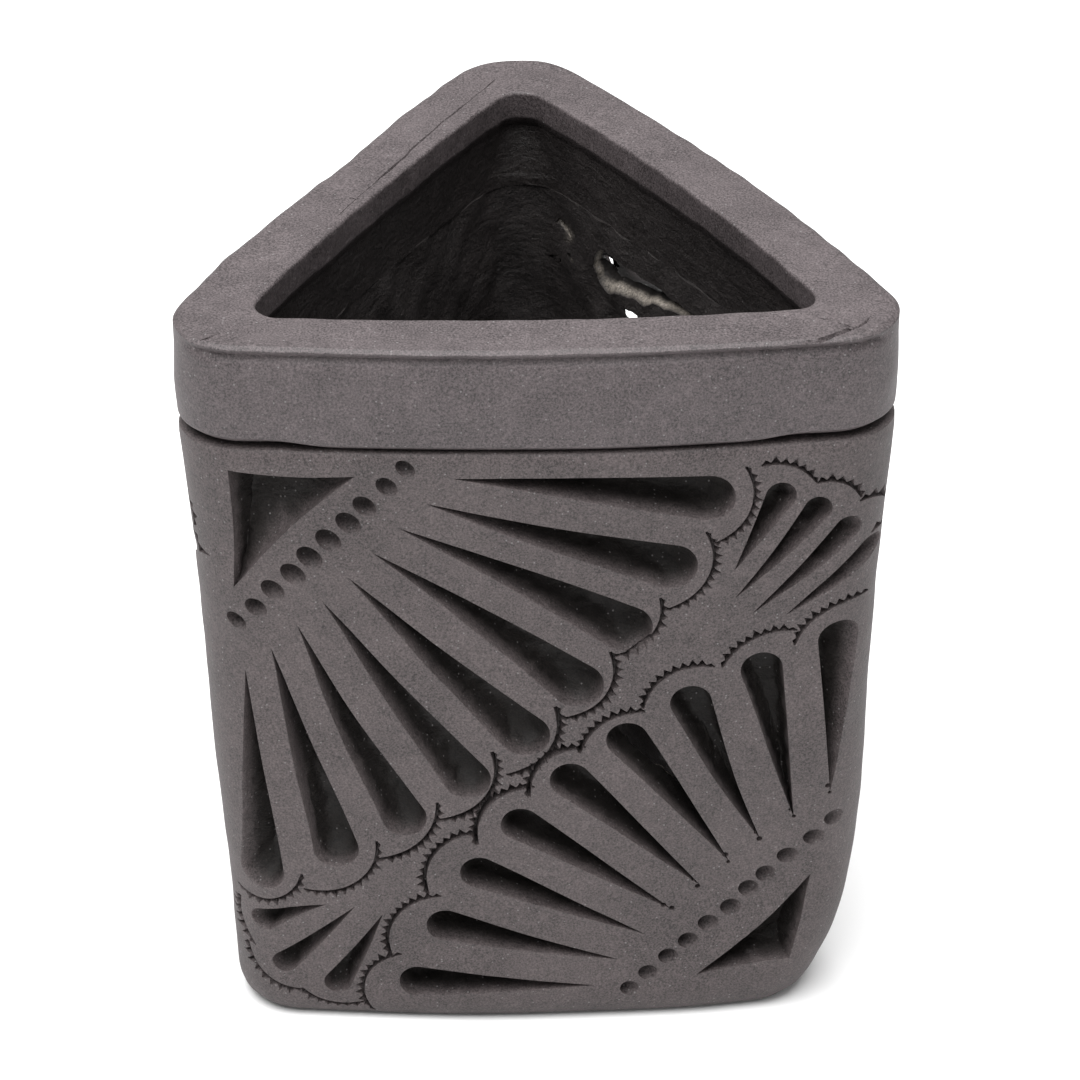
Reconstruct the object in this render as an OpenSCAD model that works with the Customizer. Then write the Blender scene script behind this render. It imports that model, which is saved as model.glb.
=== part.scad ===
// Three-sided black clay pot, slab built: three carved wall slabs, a base slab set inside their feet,
// coils pressed into the inside joints, and a rim of three thicker strips on top.
// Z is up. The pot stands on z = 0, its plan box is centred on the origin and its front faces -Y.

/* [Body] */
// Width across the two front corners, at the rim
body_w = 100; // [95:1:110]
// Height over all
body_h = 118; // [114:1:122]
// Distance from the front corners' centres back to the rear corner's centre
plan_depth = 74.5; // [70:0.5:80]
// Outer radius of the upright corners
corner_r = 10; // [9.5:0.5:11]
// How far the middle of each side bows out
side_bow = 2.2; // [1:0.1:3]
// Size of the foot as a share of the size under the rim
foot_scale = 0.92; // [0.9:0.01:0.95]
// Thickness of the wall slabs
wall_t = 8; // [7.5:0.25:8.25]
// Thickness of the base slab
base_t = 8; // [6:0.5:9]
// Height of the rounded edge round the foot
foot_round = 4; // [2:0.5:4.5]

/* [Rim] */
// Height of the rim strips
rim_h = 16; // [14:0.5:18]
// Thickness of the rim strips at the lip
rim_t = 9.75; // [9.25:0.25:10]
// Height of the lip that stands proud inside the mouth
lip_h = 7; // [4:0.5:9]
// Inner radius of the mouth's corners
mouth_r = 4; // [3:0.5:5]
// Size of the chamfer that makes the joint line under the rim
rim_joint = 0.8; // [0.4:0.1:1.2]

/* [Coils] */
// Radius of the hollow face of the upright coils
coil_r = 7; // [6:0.5:8]
// Height of the coils round the base
foot_coil_h = 4.5; // [3:0.5:6]

/* [Carving] */
// Depth of the carved petals
petal_depth = 6; // [5:0.25:6.5]
// Petals in each large fan
petals = 9; // [7:1:9]
// Half width of the upper large fan's petals
upper_petal_r = 3.5; // [3:0.1:3.7]
// Half width of the lower large fan's petals
lower_petal_r = 3.1; // [2.6:0.1:3.3]
// Half width of the small fans' petals
small_petal_r = 1.9; // [1.6:0.1:2.1]
// Half width of the slits where a petal breaks through the wall
slit_r = 1.4; // [1:0.1:1.8]
// Depth of the two carved triangles at their square corner
triangle_depth = 5.5; // [4:0.5:6]
// Radius of the pricked dots
dot_r = 1.2; // [1:0.1:1.3]
// Depth of the pricked dots
dot_depth = 1.6; // [1:0.1:2]

/* [Hidden] */

clay = [0.33, 0.31, 0.31];
coil_clay = [0.27, 0.25, 0.25];
rim_clay = [0.38, 0.36, 0.36];

side_steps = 8;
corner_steps = 8;
petal_steps = 10;
eps = 0.01;

wall_h = body_h - rim_h;
half_w = body_w / 2 - corner_r;
inner = corner_r - wall_t;
far = 2 * body_w;

front = 0;
right = 1;
left = 2;

// The corners' centres make a triangle. The mitre planes meet at its in-centre, and the taper shrinks
// the plan towards it.
in_r = half_w * plan_depth / (half_w + norm([half_w, plan_depth]));
plan_y = (side_bow - plan_depth) / 2;
middle = [0, plan_y + in_r];
corners = [[-half_w, plan_y], [half_w, plan_y], [0, plan_y + plan_depth]];

function wrap(i) = (i + 3) % 3;
function heading(v) = atan2(v.y, v.x);
function polar(r, a) = r * [cos(a), sin(a)];

// Each side is an arc that bows out past the line through two corners' centres
function chord(k) = corners[wrap(k + 1)] - corners[k];
function outward(k) = heading(chord(k)) - 90;
function bow_r(k) = (pow(norm(chord(k)) / 2, 2) + pow(side_bow, 2)) / (2 * side_bow);
function bow_centre(k) = (corners[k] + corners[wrap(k + 1)]) / 2 - polar(bow_r(k) - side_bow, outward(k));

// Centre of a corner of radius r that runs smoothly into both its sides, once these are pushed out by off
function corner_centre(k, off, r) =
  let (
    o = bow_centre(wrap(k - 1)),
    d = norm(bow_centre(k) - o),
    u = (bow_centre(k) - o) / d,
    a = bow_r(wrap(k - 1)) + off - r,
    b = bow_r(k) + off - r,
    s = (a * a - b * b + d * d) / (2 * d)
  )
  o + s * u + sqrt(a * a - s * s) * [-u.y, u.x];

function arc(centre, r, a, b, steps) = [for (i = [0 : steps]) centre + polar(r, a + (b - a) * i / steps)];

// Side k and the corner at its end, in the plan whose sides are pushed out by off
function side_and_corner(k, off, r) =
  let (
    start = corner_centre(k, off, r),
    end = corner_centre(wrap(k + 1), off, r),
    a = heading(start - bow_centre(k)),
    b = heading(end - bow_centre(k)),
    c = heading(end - bow_centre(wrap(k + 1)))
  )
  concat(
    arc(bow_centre(k), bow_r(k) + off, a, b, side_steps),
    [for (i = [1 : corner_steps - 1]) end + polar(r, b + ((c < b ? c + 360 : c) - b) * i / corner_steps)]
  );

module plan(off, r) {
  polygon([for (k = [0 : 2]) each side_and_corner(k, off, r)]);
}

// Size of the body at a height, as a share of its size under the rim
function taper(z) = foot_scale + (1 - foot_scale) * z / wall_h;

// A plan drawn between two heights, with its size at each as a share of its size under the rim
module loft(off, r, z0, z1, size0, size1) {
  translate([middle.x, middle.y, z0])
    linear_extrude(height = z1 - z0, scale = size1 / size0)
      scale(size0)
        translate(-middle)
          plan(off, r);
}

module tapered(off, r, z0, z1) {
  loft(off, r, z0, z1, taper(z0), taper(z1));
}

// The outside of the body, with its foot rounded in by rings of [height, inset] shares
foot_rings = [[0, 0.056], [0.12, 0.03], [0.4, 0.01], [1, 0]];

module body_form() {
  for (i = [0 : 2]) {
    low = foot_rings[i];
    high = foot_rings[i + 1];
    z0 = low[0] * foot_round;
    z1 = high[0] * foot_round;
    loft(corner_r, corner_r, z0, z1 + eps, taper(z0) - low[1], taper(z1) - high[1]);
  }
  tapered(corner_r, corner_r, foot_round, wall_h);
}

// The part of the plan that belongs to side k, between two mitre planes
module side_share(k) {
  translate([0, 0, -eps])
    linear_extrude(height = body_h + 2 * eps)
      polygon([
        middle,
        middle + polar(far, heading(corners[k] - middle)),
        middle + polar(far, heading(corners[wrap(k + 1)] - middle))
      ]);
}

// The part of the plan that belongs to the corner at the end of side k
module corner_share(k) {
  translate([0, 0, -eps])
    linear_extrude(height = body_h + 2 * eps)
      polygon([
        middle,
        middle + polar(far, outward(k)),
        middle + polar(far * 2, heading(corners[wrap(k + 1)] - middle)),
        middle + polar(far, outward(wrap(k + 1)))
      ]);
}

// Puts a pattern with x across side k, y up it and z out of it at the middle of its outer face
module on_side(k) {
  at = (corners[k] + corners[wrap(k + 1)]) / 2 + polar(corner_r + side_bow, outward(k));
  translate([at.x, at.y, 0])
    rotate([90, 0, outward(k) + 90])
      children();
}

// How far the outer face lies behind that pattern's plane, from the bow and the taper
function drop(p) =
  let (r = bow_r(front) + corner_r, x = p.x / taper(p.y))
  r - sqrt(r * r - x * x) + (1 - taper(p.y)) * (in_r + corner_r + side_bow);

// The carving's places in millimetres: [across from the middle of the side, up from the foot].
// A fan is [first tip, last tip, bulge of the row of tips, first end, last end, bulge of the row of ends].
upper_fan = [[-12, 98], [-42.4, 65], 0, [27, 93.5], [-41.4, 24.8], 10.8];
lower_fan = [[8.5, 6.8], [42, 40.5], 2, [-21.5, 8], [42.9, 71.5], 11.8];
top_fan = [[27.2, 81.6], [34.9, 73.4], -3.5, [34.5, 95.6], [46, 83.5], 1.6];
bottom_fan = [[-32, 22.5], [-23.6, 21], 0.6, [-43.5, 17.7], [-31.8, 5.5], -3.2];
upper_triangle = [[-42.6, 98.4], [-43.1, 79.6], [-25.9, 98.1]];
lower_triangle = [[39.2, 9.4], [39.9, 25.5], [24.7, 8.4]];
upper_dots = [[-18.2, 99.2], [-43.1, 73.1]];
lower_dots = [[13.9, 5.8], [42.7, 35.8]];
// Where a petal breaks through the front, right and left wall: [tip, end] of each slit
slits = [
  [[[20.5, 41], [13.2, 52.3]]],
  [[[-3, 97], [24.5, 93.8]]],
  []
];
top_petals = 4;
bottom_petals = 3;
upper_dot_count = 10;
lower_dot_count = 11;

// A place at share t along a row from p to q that bulges to its left
function along(p, q, bulge, t) = p + (q - p) * t + 4 * bulge * t * (1 - t) * [p.y - q.y, q.x - p.x] / norm(q - p);

// A petal has a sharp tip, straight flanks and a round end
module petal(tip, end, r) {
  turn = heading(end - tip);
  centre = end - polar(r, turn);
  half = acos(r / norm(centre - tip));
  polygon(concat([tip], [
    for (i = [0 : petal_steps])
      centre + polar(r, turn - 180 + half + (360 - 2 * half) * i / petal_steps)
  ]));
}

module fan(f, count, r) {
  for (i = [0 : count - 1]) {
    t = i / (count - 1);
    petal(along(f[0], f[1], f[2], t), along(f[3], f[4], f[5], t), r);
  }
}

// A chip carved triangle, whose floor slopes down from its long edge to its square corner
module carved_triangle(p) {
  above = 5;
  shallow = 0.3;
  polyhedron(
    points = [
      [p[0].x, p[0].y, -drop(p[0]) - triangle_depth],
      [p[1].x, p[1].y, -drop(p[1]) - shallow],
      [p[2].x, p[2].y, -drop(p[2]) - shallow],
      [p[0].x, p[0].y, above],
      [p[1].x, p[1].y, above],
      [p[2].x, p[2].y, above]
    ],
    faces = heading_side(p) > 0
      ? [[0, 1, 2], [5, 4, 3], [0, 3, 4, 1], [1, 4, 5, 2], [2, 5, 3, 0]]
      : [[2, 1, 0], [3, 4, 5], [1, 4, 3, 0], [2, 5, 4, 1], [0, 3, 5, 2]]
  );
}

// Positive where three places run anticlockwise
function heading_side(p) = (p[1].x - p[0].x) * (p[2].y - p[0].y) - (p[1].y - p[0].y) * (p[2].x - p[0].x);

module dots(row, count) {
  above = 2;
  slope = 0.6 * dot_r / dot_depth;
  for (i = [0 : count - 1]) {
    p = row[0] + (row[1] - row[0]) * i / (count - 1);
    translate([p.x, p.y, -drop(p) - dot_depth])
      cylinder(h = dot_depth + above, r1 = 0.4 * dot_r, r2 = dot_r + above * slope, $fn = 20);
  }
}

// Cuts a flat pattern into side k, right through the wall
module through(k) {
  on_side(k)
    translate([0, 0, -wall_t - 15])
      linear_extrude(height = wall_t + 20)
        children();
}

module carving(k) {
  difference() {
    through(k) {
      fan(upper_fan, petals, upper_petal_r);
      fan(lower_fan, petals, lower_petal_r);
      fan(top_fan, top_petals, small_petal_r);
      fan(bottom_fan, bottom_petals, small_petal_r);
    }
    tapered(corner_r - petal_depth, corner_r - petal_depth, -eps, wall_h + eps);
  }
  on_side(k) {
    carved_triangle(upper_triangle);
    carved_triangle(lower_triangle);
    dots(upper_dots, upper_dot_count);
    dots(lower_dots, lower_dot_count);
  }
  through(k)
    for (slit = slits[k]) petal(slit[0], slit[1], slit_r);
}

module wall(k) {
  color(clay)
    difference() {
      intersection() {
        body_form();
        side_share(k);
      }
      tapered(inner, inner, -eps, wall_h + eps);
      carving(k);
    }
}

module base_slab() {
  color(clay) tapered(inner, inner, 0, base_t);
}

// Clay pressed into the upright joint at the end of side k, with a hollow face
module corner_coil(k) {
  color(coil_clay)
    intersection() {
      difference() {
        tapered(inner, inner, base_t, wall_h);
        tapered(inner + 0.3, coil_r, base_t - eps, wall_h + eps);
      }
      corner_share(k);
    }
}

// Clay pressed into the joint of side k's wall and the base, between two upright coils
module foot_coil(k) {
  z1 = base_t + foot_coil_h;
  color(coil_clay)
    intersection() {
      difference() {
        intersection() {
          tapered(inner, inner, base_t, z1);
          tapered(inner + 0.3, coil_r, base_t, z1);
        }
        loft(inner, coil_r, base_t - eps, z1 + eps, taper(base_t) - 0.16, taper(z1) - 0.02);
      }
      side_share(k);
    }
}

// One strip of the rim, with a lip inside and a chamfer underneath
module rim(k) {
  color(rim_clay)
    difference() {
      intersection() {
        union() {
          translate([0, 0, wall_h])
            linear_extrude(height = rim_joint + eps) plan(corner_r - rim_joint, corner_r - rim_joint);
          translate([0, 0, wall_h + rim_joint])
            linear_extrude(height = rim_h - rim_joint) plan(corner_r, corner_r);
        }
        side_share(k);
      }
      translate([0, 0, wall_h - eps])
        linear_extrude(height = rim_h - lip_h + eps) plan(inner, coil_r);
      translate([0, 0, wall_h])
        linear_extrude(height = rim_h + eps) plan(corner_r - rim_t, mouth_r);
    }
}

base_slab();
wall(front);  // front_wall
wall(left);  // left_wall
wall(right);  // right_wall
corner_coil(left);  // corner_coil_left
corner_coil(front);  // corner_coil_right
corner_coil(right);  // corner_coil_back
foot_coil(front);  // foot_coil_front
foot_coil(left);  // foot_coil_left
foot_coil(right);  // foot_coil_right
rim(front);  // rim_front
rim(left);  // rim_left
rim(right);  // rim_right
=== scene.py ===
import math

import bmesh
import bpy
import numpy as np
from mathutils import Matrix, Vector


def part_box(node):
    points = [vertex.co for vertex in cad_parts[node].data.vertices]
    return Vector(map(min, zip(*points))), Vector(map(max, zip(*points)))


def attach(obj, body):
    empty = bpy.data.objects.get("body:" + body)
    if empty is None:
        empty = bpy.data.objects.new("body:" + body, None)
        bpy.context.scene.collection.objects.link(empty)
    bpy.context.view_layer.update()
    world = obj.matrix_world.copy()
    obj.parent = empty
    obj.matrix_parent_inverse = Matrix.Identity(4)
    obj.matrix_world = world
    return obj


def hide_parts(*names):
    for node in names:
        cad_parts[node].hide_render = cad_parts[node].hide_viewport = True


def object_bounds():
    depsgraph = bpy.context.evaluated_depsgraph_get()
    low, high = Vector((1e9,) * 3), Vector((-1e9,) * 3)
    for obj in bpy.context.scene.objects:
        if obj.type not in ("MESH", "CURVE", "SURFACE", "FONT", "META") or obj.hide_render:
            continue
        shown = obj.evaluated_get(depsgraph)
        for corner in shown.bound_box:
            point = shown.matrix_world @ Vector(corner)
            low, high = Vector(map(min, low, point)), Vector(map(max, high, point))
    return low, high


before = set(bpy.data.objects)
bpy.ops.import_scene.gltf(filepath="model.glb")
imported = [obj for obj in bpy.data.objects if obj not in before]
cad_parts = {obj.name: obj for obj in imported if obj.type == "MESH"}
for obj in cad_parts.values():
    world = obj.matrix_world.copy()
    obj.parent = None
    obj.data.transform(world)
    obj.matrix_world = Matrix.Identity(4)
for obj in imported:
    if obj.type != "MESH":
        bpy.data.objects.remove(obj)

cad_low, cad_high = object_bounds()

# The pot is shaped in millimetres and turned into metres when a piece is finished.
MM = 0.001
BODY = "root"
WALL_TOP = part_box("rim_front")[0].z / MM
RIM_TOP = cad_high.z / MM
FRONT, RIGHT, LEFT = 0, 1, 2
WALLS = {FRONT: "front_wall", RIGHT: "right_wall", LEFT: "left_wall"}

HALF_WIDTH = 40.0
PLAN_DEPTH = 74.5
CORNER_R = 10.0
SIDE_BOW = 2.2
FOOT_SCALE = 0.92
WALL = 8.0
BASE = 8.0
COIL_R = 7.0
FOOT_COIL = 4.5
MOUTH_R = 3.8
LIP = 9.8

GRID = 1.0
FLANK_STEPS = 24
ROUND_STEPS = 20


# ---------------------------------------------------------------- plan of the pot

def polar(r, a):
    return np.array([r * math.cos(a), r * math.sin(a)])


def heading(v):
    return math.atan2(v[1], v[0])


PLAN_Y = (SIDE_BOW - PLAN_DEPTH) / 2
CORNERS = [
    np.array([-HALF_WIDTH, PLAN_Y]),
    np.array([HALF_WIDTH, PLAN_Y]),
    np.array([0.0, PLAN_Y + PLAN_DEPTH]),
]
IN_R = HALF_WIDTH * PLAN_DEPTH / (HALF_WIDTH + math.hypot(HALF_WIDTH, PLAN_DEPTH))
MIDDLE = np.array([0.0, PLAN_Y + IN_R])


class Side:
    """One side of the plan: the arc that bows out past the line between two corners' centres."""

    def __init__(self, k):
        a, b = CORNERS[k], CORNERS[(k + 1) % 3]
        self.half = np.linalg.norm(b - a) / 2
        self.out = heading(b - a) - math.pi / 2
        self.radius = (self.half ** 2 + SIDE_BOW ** 2) / (2 * SIDE_BOW)
        self.turn = math.asin(self.half / self.radius)
        self.centre = (a + b) / 2 - polar(self.radius - SIDE_BOW, self.out)
        self.ends = (a, b)


SIDES = [Side(k) for k in range(3)]


def corner_centre(k, off, r):
    """Centre of a corner of radius r that runs smoothly into both sides, pushed out by off."""
    before, after = SIDES[(k + 2) % 3], SIDES[k]
    gap = after.centre - before.centre
    d = np.linalg.norm(gap)
    u = gap / d
    a = before.radius + off - r
    b = after.radius + off - r
    s = (a * a - b * b + d * d) / (2 * d)
    return before.centre + s * u + math.sqrt(a * a - s * s) * np.array([-u[1], u[0]])


def outline(off, r, side_steps=round(84 / GRID), corner_steps=round(20 / GRID)):
    """Places round the plan, with its sides pushed out by off and its corners of radius r."""
    places = []
    for k in range(3):
        side, following = SIDES[k], SIDES[(k + 1) % 3]
        start, end = corner_centre(k, off, r), corner_centre((k + 1) % 3, off, r)
        a = heading(start - side.centre)
        b = heading(end - side.centre)
        c = heading(end - following.centre)
        c = c + 2 * math.pi if c < b else c
        for i in range(side_steps):
            places.append(side.centre + polar(side.radius + off, a + (b - a) * i / side_steps))
        for i in range(corner_steps):
            places.append(end + polar(r, b + (c - b) * i / corner_steps))
    return np.array(places)


def taper(z):
    return FOOT_SCALE + (1 - FOOT_SCALE) * z / WALL_TOP


def ring_at(off, r, z, size=None):
    size = taper(z) if size is None else size
    flat = MIDDLE + size * (outline(off, r) - MIDDLE)
    return [(x, y, z) for x, y in flat]


def on_wall(k, x, z, out):
    """A place x across wall k and z up it, lifted out of its outer face, round the corner if need be."""
    side = SIDES[k]
    size = taper(z)
    across = x / size
    face = side.radius + CORNER_R
    if abs(across) <= face * math.sin(side.turn):
        p = side.centre + polar(face + out, side.out + math.asin(across / face))
    else:
        sign = 1 if across > 0 else -1
        c = side.ends[1] if sign > 0 else side.ends[0]
        lean = math.asin(min((abs(across) - side.half) / CORNER_R, 0.99))
        p = c + polar(CORNER_R + out, side.out + sign * lean)
    p = MIDDLE + size * (p - MIDDLE)
    return (p[0], p[1], z)


def depth_in(co):
    """How far each place lies inside the outer face of the body, in millimetres."""
    size = taper(np.clip(co[:, 2], 0, WALL_TOP))[:, None]
    q = (co[:, :2] - MIDDLE) / size + MIDDLE
    depth = np.full(len(co), 1e9)
    for side in SIDES:
        depth = np.minimum(depth, side.radius + CORNER_R - np.linalg.norm(q - side.centre, axis=1))
    for k in range(3):
        from_corner = q - CORNERS[k]
        beyond = from_corner @ (CORNERS[k] - MIDDLE) > 0
        depth = np.where(beyond, np.minimum(depth, CORNER_R - np.linalg.norm(from_corner, axis=1)), depth)
    return depth


def smoothstep(v, a, b):
    t = np.clip((v - a) / (b - a), 0, 1)
    return t * t * (3 - 2 * t)


# ---------------------------------------------------------------- the hand's unevenness

rng = np.random.default_rng(11)


def waves(count, longest, shortest):
    """Slow three-way waves: directions, shifts and amounts."""
    lengths = np.exp(rng.uniform(math.log(shortest), math.log(longest), count))
    ways = rng.normal(size=(count, 3))
    ways /= np.linalg.norm(ways, axis=1)[:, None]
    pulls = rng.normal(size=(count, 3)) * (lengths / longest)[:, None] ** 0.8
    return ways * (2 * math.pi / lengths)[:, None], rng.uniform(0, 2 * math.pi, count), pulls


BODY_WAVES = waves(14, 90.0, 22.0)
PRESS_WAVES = waves(24, 16.0, 5.0)
BLADE_WAVES = waves(30, 4.5, 1.6)


def sway(co, made, amount):
    ways, shifts, pulls = made
    moved = np.sin(co @ ways.T + shifts) @ pulls
    return moved * amount / math.sqrt(len(shifts))


# How high the foot's evenness reaches
FLAT_FOOT = 3


def uneven(co):
    """Where the hand has left each place of the finished pot."""
    moved = co + sway(co, BODY_WAVES, np.array([0.45, 0.45, 0.16]))
    # The foot is pressed in at the right, and the right side swells a little above it.
    pressed = smoothstep(co[:, 0], 18, 42) * np.clip(1 - co[:, 2] / 20, 0, 1) ** 1.8
    moved[:, 0] += 0.9 * smoothstep(co[:, 0], 34, 44) * np.exp(-((co[:, 2] - 34) / 22) ** 2) - 4.6 * pressed
    moved[:, 2] += 1.6 * pressed * smoothstep(co[:, 2], 0.5, 6)
    # The foot stays flat on the floor.
    near_floor = np.clip(co[:, 2] / FLAT_FOOT, 0, 1)
    moved[:, 2] = np.where(co[:, 2] < FLAT_FOOT, co[:, 2] + (moved[:, 2] - co[:, 2]) * near_floor, moved[:, 2])
    return moved


# ---------------------------------------------------------------- making meshes

def add_ring(bm, places):
    verts = [bm.verts.new(p) for p in places]
    return [bm.edges.new((verts[i], verts[(i + 1) % len(verts)])) for i in range(len(verts))]


def add_loft(bm, rings, closed=False):
    """Bridges rings of places into a skin, capped at both ends unless it closes on itself."""
    loops = [add_ring(bm, places) for places in rings]
    pairs = list(zip(loops, loops[1:] + (loops[:1] if closed else [])))
    for low, high in pairs:
        bmesh.ops.bridge_loops(bm, edges=low + high)
    if not closed:
        bmesh.ops.contextual_create(bm, geom=loops[0])
        bmesh.ops.contextual_create(bm, geom=loops[-1])


def finish_bmesh(bm, name):
    bmesh.ops.recalc_face_normals(bm, faces=bm.faces)
    bmesh.ops.triangulate(bm, faces=bm.faces)
    mesh = bpy.data.meshes.new(name)
    bm.to_mesh(mesh)
    bm.free()
    return mesh


def loft(name, rings):
    bm = bmesh.new()
    add_loft(bm, rings)
    return finish_bmesh(bm, name)


def co_of(mesh):
    co = np.empty(len(mesh.vertices) * 3)
    mesh.vertices.foreach_get("co", co)
    return co.reshape(-1, 3)


def set_co(mesh, co):
    mesh.vertices.foreach_set("co", np.ascontiguousarray(co).ravel())
    mesh.update()


def modified(mesh, *kinds):
    """The mesh after modifiers, each given as (type, settings)."""
    obj = bpy.data.objects.new("work", mesh)
    bpy.context.scene.collection.objects.link(obj)
    for kind, settings in kinds:
        mod = obj.modifiers.new(kind.lower(), kind)
        for key, value in settings.items():
            setattr(mod, key, value)
    graph = bpy.context.evaluated_depsgraph_get()
    done = bpy.data.meshes.new_from_object(obj.evaluated_get(graph), depsgraph=graph)
    bpy.data.objects.remove(obj)
    return done


def combine(mesh, other, operation):
    tool = bpy.data.objects.new("tool", other)
    bpy.context.scene.collection.objects.link(tool)
    done = modified(mesh, ("BOOLEAN", {"operation": operation, "solver": "MANIFOLD", "object": tool}))
    bpy.data.objects.remove(tool)
    if not len(done.polygons):
        raise RuntimeError("nothing left of " + mesh.name)
    return done


def joined(meshes):
    bm = bmesh.new()
    for mesh in meshes:
        bm.from_mesh(mesh)
    done = bpy.data.meshes.new(meshes[0].name)
    bm.to_mesh(done)
    bm.free()
    return done


def cut(mesh, other):
    return combine(mesh, other, "DIFFERENCE")


def keep(mesh, other):
    return combine(mesh, other, "INTERSECT")


# ---------------------------------------------------------------- the carving

def row(p, q, bulge, t):
    """A place at share t along a row from p to q that bulges to its left."""
    p, q = np.array(p), np.array(q)
    left = np.array([p[1] - q[1], q[0] - p[0]]) / np.linalg.norm(q - p)
    return p + (q - p) * t + 4 * bulge * t * (1 - t) * left


# Each fan: petals, first tip, last tip, bulge of the tips, first end, last end, bulge of the ends,
# half width of the first petal and of the last
FANS = {
    "upper": (9, (-12, 98), (-42.4, 65), 0, (27, 93.5), (-41.4, 24.8), 10.8, 3.8, 3.15),
    "lower": (9, (8.5, 6.8), (42, 40.5), 2, (-21.5, 8), (42.9, 71.5), 11.8, 2.9, 3.1),
    "top": (4, (27.2, 81.6), (34.9, 73.4), -3.5, (34.5, 95.6), (48.4, 83.5), 1.6, 2.2, 1.9),
    "bottom": (3, (-32, 22.5), (-23.6, 21), 0.6, (-43.5, 17.7), (-31.8, 5.5), -3.2, 1.9, 2.0),
}

# How a petal narrows on its way in: depth, inset, share of its length lost at the tip, loss at the end
SCOOP = [
    (-1.5, -0.16, 0.0, -0.1),
    (-0.14, -0.14, 0.0, -0.1),
    (0.12, 0.02, 0.005, 0.02),
    (0.6, 0.06, 0.01, 0.06),
    (1.4, 0.12, 0.02, 0.16),
    (2.4, 0.2, 0.04, 0.4),
    (3.4, 0.34, 0.08, 0.9),
    (4.3, 0.58, 0.13, 1.6),
    (5.1, 0.95, 0.2, 2.5),
    (5.7, 1.4, 0.28, 3.6),
    (6.1, 1.95, 0.37, 4.8),
    (6.3, 2.6, 0.46, 6.0),
]


def petals_of(fan):
    """Tip, end and half width of each petal."""
    count, t0, t1, tip_bulge, e0, e1, end_bulge, half0, half1 = FANS[fan]
    shares = [i / (count - 1) for i in range(count)]
    return [(row(t0, t1, tip_bulge, t), row(e0, e1, end_bulge, t), half0 + (half1 - half0) * t) for t in shares]


def petal_outline(tip, end, half, bend=0.0):
    """Sharp tip, straight flanks, round end."""
    way = heading(end - tip)
    centre = end - polar(half, way)
    length = np.linalg.norm(centre - tip)
    lean = math.asin(min(half / length, 0.95))
    start = way - math.pi / 2 - lean
    turn = math.pi + 2 * lean
    side_a = centre + polar(half, start)
    side_b = centre + polar(half, start + turn)
    across = polar(1, way + math.pi / 2)
    places = []
    for i in range(FLANK_STEPS):
        t = i / FLANK_STEPS
        places.append(tip + (side_a - tip) * t + across * bend * math.sin(math.pi * t))
    for i in range(ROUND_STEPS + 1):
        places.append(centre + polar(half, start + turn * i / ROUND_STEPS))
    for i in range(1, FLANK_STEPS):
        t = 1 - i / FLANK_STEPS
        places.append(tip + (side_b - tip) * t + across * bend * math.sin(math.pi * t))
    return places


def add_petal(bm, k, tip, end, half, shallow=1.0, spoon=1.0):
    way = heading(end - tip)
    along = polar(1, way)
    across = polar(1, way + math.pi / 2)
    uphill = across if across[1] > 0 else -across
    bend = rng.uniform(-0.4, 0.4)
    half = half * rng.uniform(0.97, 1.05)
    length = np.linalg.norm(end - tip)
    scale = half / 3.5
    deep = rng.uniform(0.93, 1.03)
    upright = 0.6 if spoon < 1 else 1.0
    rings = []
    for depth, inset, tip_loss, end_loss in SCOOP:
        r = max(half - inset * scale * upright, 0.2)
        inner_end = end - along * end_loss * scale * spoon
        inner_tip = tip + along * length * tip_loss
        shift = uphill * 0.1 * max(depth, 0) * scale
        places = petal_outline(inner_tip + shift, inner_end + shift, r, bend)
        rings.append([on_wall(k, x, z, -depth * (shallow * deep if depth > 0 else 1)) for x, z in places])
    add_loft(bm, rings)


# How a break through a petal's floor widens on its way in: depth, growth, sinking
BREAK = [(4.5, 0.1, 0), (5.6, 0.3, 0), (6.3, 0.6, 0.1), (7.2, 1.0, 0.4), (11.0, 3.0, 2.0)]


def add_slit(bm, k, tip, end, half):
    """A ragged break through the thin floor of a petal."""
    rings = []
    tip, end = np.array(tip, float), np.array(end, float)
    rough = rng.normal(size=(2 * FLANK_STEPS + ROUND_STEPS, 2)) * 0.2
    rough = sum(np.roll(rough, i, axis=0) for i in range(-3, 4)) / 4
    for depth, grow, sunk in BREAK:
        places = petal_outline(tip, end, half + grow)
        places = [p + rough[i] * (0.6 + 0.1 * depth) - np.array([0, sunk]) for i, p in enumerate(places)]
        rings.append([on_wall(k, x, z, -depth) for x, z in places])
    add_loft(bm, rings)


def add_channel(bm, k, path, wide, tall):
    """A slanting hole through a wall, along places across it, up it and into it."""
    rings = []
    around = 12
    turns = [2 * math.pi * i / around for i in range(around)]
    rough = 1 + rng.uniform(-0.2, 0.2, around)
    for x, z, depth in path:
        places = [(x + wide * r * math.cos(a), z + tall * r * math.sin(a)) for a, r in zip(turns, rough)]
        rings.append([on_wall(k, across, up, -depth) for across, up in places])
    add_loft(bm, rings)


def add_dot(bm, k, place, fading, size, reach):
    """A gouge stab, steep and deep on one side and fading out towards the other."""
    made = bmesh.ops.create_uvsphere(bm, u_segments=22, v_segments=16, radius=1.0)["verts"]
    lean = math.radians(34)
    across = np.array([-fading[1], fading[0]])
    for v in made:
        a, b, c = v.co.x * reach * size, v.co.y * 1.42 * size, v.co.z * 3.7 * size
        along = a * math.cos(lean) + c * math.sin(lean)
        out = -a * math.sin(lean) + c * math.cos(lean) + 0.55
        x, z = place + fading * (along + 0.1) + across * b
        v.co = on_wall(k, x, z, out)


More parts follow.
